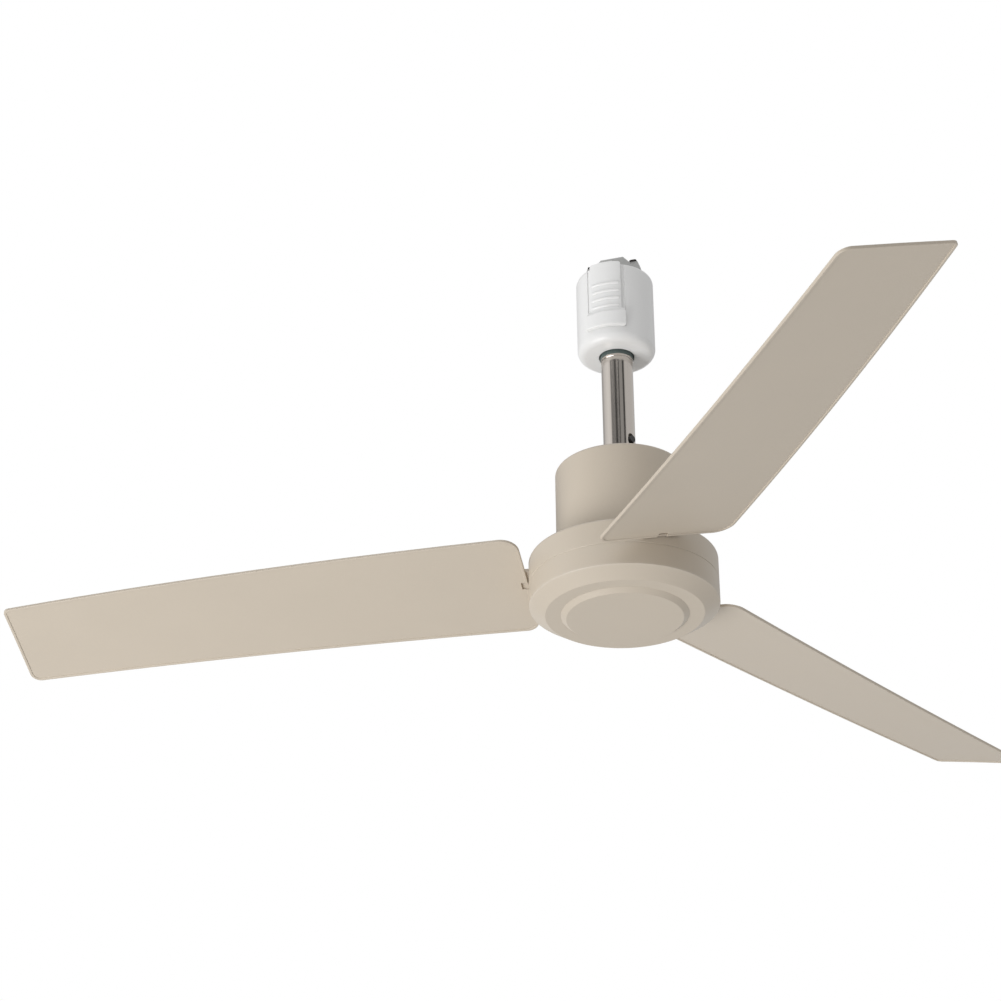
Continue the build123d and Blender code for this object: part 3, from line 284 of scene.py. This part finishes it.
def make_drawn_lines():
    """Fine lines along the Z axis, as on a drawn or polished tube."""
    tree, given, result = new_line_group("drawn_lines", roughness=0.2, depth=0.1)
    stretch = put(tree, "Mapping", Scale=(1.0, 1.0, 0.012))
    tree.links.new(object_point(tree), stretch.inputs["Vector"])
    lines = noise(tree, stretch.outputs[0], scale=2600.0, detail=3.0)
    cloud = noise(tree, object_point(tree), scale=45.0, detail=3.0)
    finish_lines(tree, given, result, lines, cloud, spread=0.08)
    return tree


def make_turned_rings():
    """Fine rings about the axis, as on turned, rolled or stamped round steel."""
    tree, given, result = new_line_group("turned_rings", roughness=0.25, depth=0.12)
    reach, level = round_place(tree)
    place = put(tree, "CombineXYZ")
    tree.links.new(reach, place.inputs["X"])
    tree.links.new(level, place.inputs["Y"])
    lines = noise(tree, place.outputs[0], scale=3200.0, detail=2.0)
    cloud = noise(tree, object_point(tree), scale=90.0, detail=3.0)
    finish_lines(tree, given, result, lines, cloud, spread=0.10)
    return tree


moulded_skin = make_moulded_skin()
rim_wear = make_rim_wear()
settled_dust = make_settled_dust()
drawn_lines = make_drawn_lines()
turned_rings = make_turned_rings()


def start_material(name):
    """A new material, its tree and its Principled shader."""
    material = bpy.data.materials.new(name)
    material.use_nodes = True
    tree = material.node_tree
    return material, tree, tree.nodes["Principled BSDF"]


def place_group(tree, group, **values):
    """A group in a material, with its own values."""
    node = tree.nodes.new("ShaderNodeGroup")
    node.node_tree = group
    for name, value in values.items():
        node.inputs[name.replace("_", " ")].default_value = value
    return node


def add_bump(tree, shader, height, depth):
    """A bump of a real depth in metres."""
    bump = put(tree, "Bump", Strength=1.0, Distance=depth)
    tree.links.new(height, bump.inputs["Height"])
    tree.links.new(bump.outputs[0], shader.inputs["Normal"])


def moulded(name, colour, roughness, clouding=0.04, grain=0.0005, grain_depth=0.000012, rims=(), dust=0.4):
    """Moulded plastic or paint, with dust on its upper faces and light wear on its round rims."""
    material, tree, shader = start_material(name)
    skin = place_group(
        tree, moulded_skin, Colour=colour, Clouding=clouding, Roughness=roughness, Grain_Size=grain
    )
    shade = skin.outputs["Colour"]
    pale = tuple(1 - (1 - part) * rim_colour_left for part in colour[:3]) + (1,)
    for radius, level in rims:
        worn = place_group(tree, rim_wear, Radius=radius, Level=level, Reach=rim_reach)
        shade = mixed(tree, math_node(tree, "MULTIPLY", worn.outputs[0], rim_strength), shade, pale)
    film = place_group(tree, settled_dust, Amount=dust)
    dulled = math_node(tree, "MULTIPLY", film.outputs[0], dust_dulling)
    dusty = math_node(tree, "ADD", skin.outputs["Roughness"], dulled, clamp=True)
    tree.links.new(mixed(tree, film.outputs[0], shade, dust_grey), shader.inputs["Base Color"])
    tree.links.new(dusty, shader.inputs["Roughness"])
    add_bump(tree, shader, skin.outputs["Height"], grain_depth)
    return material


def metal(name, colour, roughness, lines, depth=0.12):
    """Bare or plated metal with drawn or turned lines."""
    material, tree, shader = start_material(name)
    shader.inputs["Metallic"].default_value = 1.0
    surface = place_group(tree, lines, Colour=colour, Roughness=roughness, Depth=depth)
    tree.links.new(surface.outputs["Colour"], shader.inputs["Base Color"])
    tree.links.new(surface.outputs["Roughness"], shader.inputs["Roughness"])
    add_bump(tree, shader, surface.outputs["Height"], metal_line_depth)
    return material


def housing_rims():
    """The round rims of the housing that wear, each as a radius and a height."""
    # Height of the lower shell's sloping band, whose upper edge is a rim
    band_height = 0.0066
    canister_low, canister_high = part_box("canister")
    upper_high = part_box("upper_shell")[1]
    lower_low, lower_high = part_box("lower_shell")
    cap_low, cap_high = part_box("centre_cap")
    return [
        (canister_high.x, canister_high.z),
        (canister_high.x, canister_low.z),
        (upper_high.x, upper_high.z),
        (lower_high.x, lower_low.z + band_height),
        (cap_high.x, cap_low.z),
    ]


moulded_looks = {
    "greige_housing": dict(colour=greige, roughness=0.40, rims=housing_rims()),
    "greige_blade": dict(colour=greige, roughness=0.44, clouding=0.05, grain=0.0007),
    "greige_bracket": dict(colour=greige_bracket, roughness=0.38),
    "white_plastic": dict(colour=plug_white, roughness=0.30, clouding=0.02, grain_depth=0.000006),
    # The rail head's colour is its grey plastic darkened as painted shade
    "head_plastic": dict(colour=head_grey_with_painted_shade, roughness=0.42),
    "black_rubber": dict(colour=bush_grey, roughness=0.38, clouding=0.2, dust=0.2),
    "terminal_plastic": dict(colour=terminal_cream, roughness=0.45),
    "board_green": dict(colour=board_green, roughness=0.3, clouding=0.15, grain=0.0012),
    "lead_sleeve": dict(colour=lead_grey, roughness=0.5, dust=0.1),
    "can_metal": dict(colour=sleeve_blue, roughness=0.25, clouding=0.1),
    "choke_ferrite": dict(colour=choke_brown, roughness=0.4, clouding=0.3, grain=0.0009),
    "magnet_ferrite": dict(colour=magnet_grey, roughness=0.55, clouding=0.15, grain=0.0004),
    "black_steel": dict(colour=black_oxide, roughness=0.35, clouding=0.3, dust=0.05),
}
metal_looks = {
    "contact_metal": dict(colour=contact_brown, roughness=0.35, lines=drawn_lines),
    "polished_steel": dict(colour=pipe_steel, roughness=0.12, lines=drawn_lines, depth=0.10),
    "plated_steel": dict(colour=plated_steel, roughness=0.28, lines=turned_rings),
    "spring_steel": dict(colour=ground_steel, roughness=0.22, lines=drawn_lines),
    "screw_steel": dict(colour=plated_steel, roughness=0.24, lines=turned_rings),
    "shaft_steel": dict(colour=ground_steel, roughness=0.16, lines=turned_rings),
    "bearing_steel": dict(colour=ground_steel, roughness=0.10, lines=turned_rings),
    "core_steel": dict(colour=core_grey, roughness=0.42, lines=turned_rings, depth=0.4),
    "copper_wire": dict(colour=copper, roughness=0.25, lines=turned_rings, depth=0.5),
}
finishes = {name: moulded(name, **look) for name, look in moulded_looks.items()}
finishes.update({name: metal(name, **look) for name, look in metal_looks.items()})
for row in frame["record"]["subparts"]:
    node = nodes[row["node"]]
    node.data.materials.clear()
    node.data.materials.append(finishes[row["material_slot"]])


def keep_piece(piece, name, node, slot):
    """Settle a finished piece at the origin in place of its plain node, riding on the fixed frame."""
    piece.name = name
    piece.data.name = name
    bpy.ops.object.transform_apply(location=True, rotation=True, scale=True)
    bpy.ops.object.shade_smooth_by_angle(angle=smooth_angle)
    piece.data.materials.append(finishes[slot])
    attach(piece, "frame")
    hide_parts(node)


def wind_lever_spring():
    """The lever's coil spring: a round wire wound up its axis, both ends closed, pressed by the lever."""
    low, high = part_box("lever_spring")
    height = high.z - low.z
    wire_r = 0.0004
    wire_sides = 12
    turns = 6
    steps_per_turn = 32
    bpy.ops.object.select_all(action="DESELECT")
    bpy.ops.mesh.primitive_circle_add(
        vertices=wire_sides,
        radius=wire_r,
        location=((high.x - low.x) / 2 - wire_r, 0, wire_r),
        rotation=(radians(90), 0, 0),
    )
    spring = bpy.context.object
    bpy.ops.object.transform_apply(location=True, rotation=True, scale=True)
    winding = spring.modifiers.new("winding", "SCREW")
    winding.iterations = turns
    winding.screw_offset = (height - 2 * wire_r) / turns
    winding.steps = steps_per_turn
    winding.render_steps = steps_per_turn
    bpy.ops.object.modifier_apply(modifier="winding")
    bpy.ops.object.mode_set(mode="EDIT")
    bpy.ops.mesh.select_all(action="SELECT")
    bpy.ops.mesh.fill_holes(sides=0)
    bpy.ops.mesh.normals_make_consistent(inside=False)
    bpy.ops.object.mode_set(mode="OBJECT")
    spring.location = ((low.x + high.x) / 2, (low.y + high.y) / 2, low.z)
    keep_piece(spring, "lever_coil_spring", "lever_spring", "spring_steel")
    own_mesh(spring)


def cut_cage_ring(middle_r, level):
    """One flat ring of a ball cage, round the fan's axis."""
    inner_r = middle_r - cage_ring_half_width
    wider = (middle_r + cage_ring_half_width) / inner_r
    bpy.ops.mesh.primitive_circle_add(vertices=72, radius=inner_r, location=(0, 0, level))
    ring = bpy.context.object
    bpy.ops.object.mode_set(mode="EDIT")
    bpy.ops.mesh.select_all(action="SELECT")
    bpy.ops.mesh.extrude_edges_move()
    bpy.ops.transform.resize(value=(wider, wider, 1))
    bpy.ops.mesh.select_all(action="SELECT")
    bpy.ops.mesh.normals_make_consistent(inside=False)
    bpy.ops.object.mode_set(mode="OBJECT")
    wall = ring.modifiers.new("wall", "SOLIDIFY")
    wall.thickness = cage_ring_t
    wall.offset = 0
    bpy.ops.object.modifier_apply(modifier="wall")
    return ring


def fit_ball_row(side):
    """The balls of one bearing between their rings, in a cage of two flat rings and their pins."""
    low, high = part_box(side + "_bearing_cage")
    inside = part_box(side + "_bearing_inner")[1].x
    outside = high.x
    level = (low.z + high.z) / 2
    ball_r = (outside - inside) / 2 - ball_play
    row_r = (outside + inside) / 2
    pin_length = 2 * ball_r + 2 * cage_ring_gap
    parts = []
    for number in range(ball_count):
        turn = 360 * number / ball_count
        half_way = turn + 180 / ball_count
        bpy.ops.mesh.primitive_uv_sphere_add(
            segments=24, ring_count=12, radius=ball_r, location=polar(turn, row_r, level)
        )
        parts.append(bpy.context.object)
        bpy.ops.mesh.primitive_cylinder_add(
            vertices=12, radius=cage_pin_r, depth=pin_length, location=polar(half_way, row_r, level)
        )
        parts.append(bpy.context.object)
    for way in (-1, 1):
        parts.append(cut_cage_ring(row_r, level + way * (ball_r + cage_ring_gap + cage_ring_t / 2)))
    bpy.ops.object.select_all(action="DESELECT")
    for part in parts:
        part.select_set(True)
    bpy.context.view_layer.objects.active = parts[0]
    bpy.ops.object.join()
    keep_piece(parts[0], side + "_ball_row", side + "_bearing_cage", "bearing_steel")


wind_lever_spring()
for bearing_side in ("upper", "lower"):
    fit_ball_row(bearing_side)


def hang_lamp(name, turn, reach, height, size, power):
    """A soft square lamp aimed at the hub, unseen by the camera, its azimuth counted from the camera's."""
    hub_centre = Vector((0, 0, -0.23))
    place = polar(camera_azimuth + turn, reach, height)
    data = bpy.data.lights.new(name, "AREA")
    data.energy = power
    data.size = size
    lamp = bpy.data.objects.new(name, data)
    bpy.context.scene.collection.objects.link(lamp)
    lamp.location = place
    lamp.rotation_euler = (hub_centre - place).to_track_quat("-Z", "Y").to_euler()
    lamp.visible_camera = False


def lay_floor():
    """The studio floor, a high room's height below the rail, which the camera sees paler than it is."""
    width = 40
    level = -3.2
    glow = 0.38
    material, tree, shader = start_material("studio_floor")
    shader.inputs["Base Color"].default_value = studio_white
    shader.inputs["Roughness"].default_value = 0.9
    shader.inputs["Emission Color"].default_value = pure_white
    seen = put(tree, "LightPath").outputs["Is Camera Ray"]
    tree.links.new(math_node(tree, "MULTIPLY", seen, glow), shader.inputs["Emission Strength"])
    bpy.ops.mesh.primitive_plane_add(size=width, location=(0, 0, level))
    floor = bpy.context.object
    floor.name = "studio_floor"
    floor.data.materials.append(material)


# The studio above the horizon as polished metal sees it, each stop an azimuth and a tone. Azimuth 0 is behind
# the camera, and azimuths grow towards its right: a bright wall on the left, a dim opening with black cards
# behind the camera, a paler strip in it, and a greyer wall on the right
back_wall = 0.42
left_wall_far = 0.50
left_wall_turn = 0.80
left_wall = 1.0
left_wall_edge = 0.90
dim_opening = 0.26
pale_strip = 0.38
right_wall = 0.68
black_card = 0.07
studio_walls = (
    (-180, back_wall),
    (-135, left_wall_far),
    (-115, left_wall_turn),
    (-80, left_wall),
    (-56, left_wall_edge),
    (-50, dim_opening),
    (-24, dim_opening),
    (-20, black_card),
    (-9, black_card),
    (-5, dim_opening),
    (5, dim_opening),
    (8, black_card),
    (11, black_card),
    (14, pale_strip),
    (35, pale_strip),
    (39, black_card),
    (48, black_card),
    (54, right_wall),
    (135, right_wall),
    (180, back_wall),
)


def wall_tones(tree, azimuth):
    """The tone of the studio's walls at an azimuth in radians."""
    walls = put(tree, "ValToRGB")
    turn = math_node(tree, "ADD", math_node(tree, "DIVIDE", azimuth, radians(360)), 0.5)
    tree.links.new(turn, walls.inputs["Fac"])
    marks = walls.color_ramp.elements
    for stop, (angle, tone) in enumerate(studio_walls):
        place = angle / 360 + 0.5
        if stop == 0:
            mark = marks[0]
        elif stop == len(studio_walls) - 1:
            mark = marks[-1]
        else:
            mark = marks.new(place)
        mark.position = place
        mark.color = (tone, tone, tone, 1)
    return walls.outputs["Color"]


def light_world():
    """The world: even light on the fan, white to the camera, and the studio's walls in reflections."""
    light_on_fan = 0.54
    light_as_seen = 1.0
    # Sines of the elevations at which the walls begin to show and show in full
    walls_start = 0.05
    walls_full = 0.25
    world = bpy.data.worlds.new("studio")
    bpy.context.scene.world = world
    world.use_nodes = True
    tree = world.node_tree
    tree.nodes.clear()
    spin = put(tree, "VectorRotate", rotation_type="Z_AXIS", Angle=-radians(camera_azimuth))
    tree.links.new(put(tree, "TexCoord").outputs["Generated"], spin.inputs["Vector"])
    direction = put(tree, "SeparateXYZ")
    tree.links.new(spin.outputs[0], direction.inputs[0])
    azimuth = math_node(tree, "ARCTAN2", direction.outputs["Y"], direction.outputs["X"])
    above = put(
        tree, "MapRange", interpolation_type="SMOOTHSTEP", From_Min=walls_start, From_Max=walls_full
    )
    tree.links.new(direction.outputs["Z"], above.inputs["Value"])
    reflected = mixed(tree, above.outputs[0], pure_white, wall_tones(tree, azimuth))
    rays = put(tree, "LightPath").outputs
    colour = mixed(tree, rays["Is Glossy Ray"], pure_white, reflected)
    seen = math_node(tree, "MAXIMUM", rays["Is Camera Ray"], rays["Is Glossy Ray"])
    seen = math_node(tree, "MAXIMUM", seen, rays["Is Transmission Ray"])
    strength = put(tree, "MapRange", To_Min=light_on_fan, To_Max=light_as_seen)
    tree.links.new(seen, strength.inputs["Value"])
    background = put(tree, "Background")
    tree.links.new(colour, background.inputs["Color"])
    tree.links.new(strength.outputs[0], background.inputs["Strength"])
    tree.links.new(background.outputs[0], put(tree, "OutputWorld").inputs["Surface"])


def place_camera():
    """The camera at the photograph's viewing angle."""
    data = bpy.data.cameras.new("camera")
    data.lens = camera_lens
    data.sensor_width = film_width
    camera = bpy.data.objects.new("camera", data)
    bpy.context.scene.collection.objects.link(camera)
    camera.matrix_world = (
        Matrix.Translation(polar(camera_azimuth, camera_reach, camera_height))
        @ Matrix.Rotation(radians(camera_heading), 4, "Z")
        @ Matrix.Rotation(radians(90 + camera_tilt), 4, "X")
        @ Matrix.Rotation(radians(camera_roll), 4, "Z")
    )
    bpy.context.scene.camera = camera


hang_lamp("key_light", turn=-62, reach=1.7, height=-1.75, size=1.5, power=38)
hang_lamp("top_light", turn=-20, reach=1.2, height=1.6, size=1.6, power=9)
lay_floor()
light_world()
place_camera()
bpy.context.scene.view_settings.view_transform = "Standard"
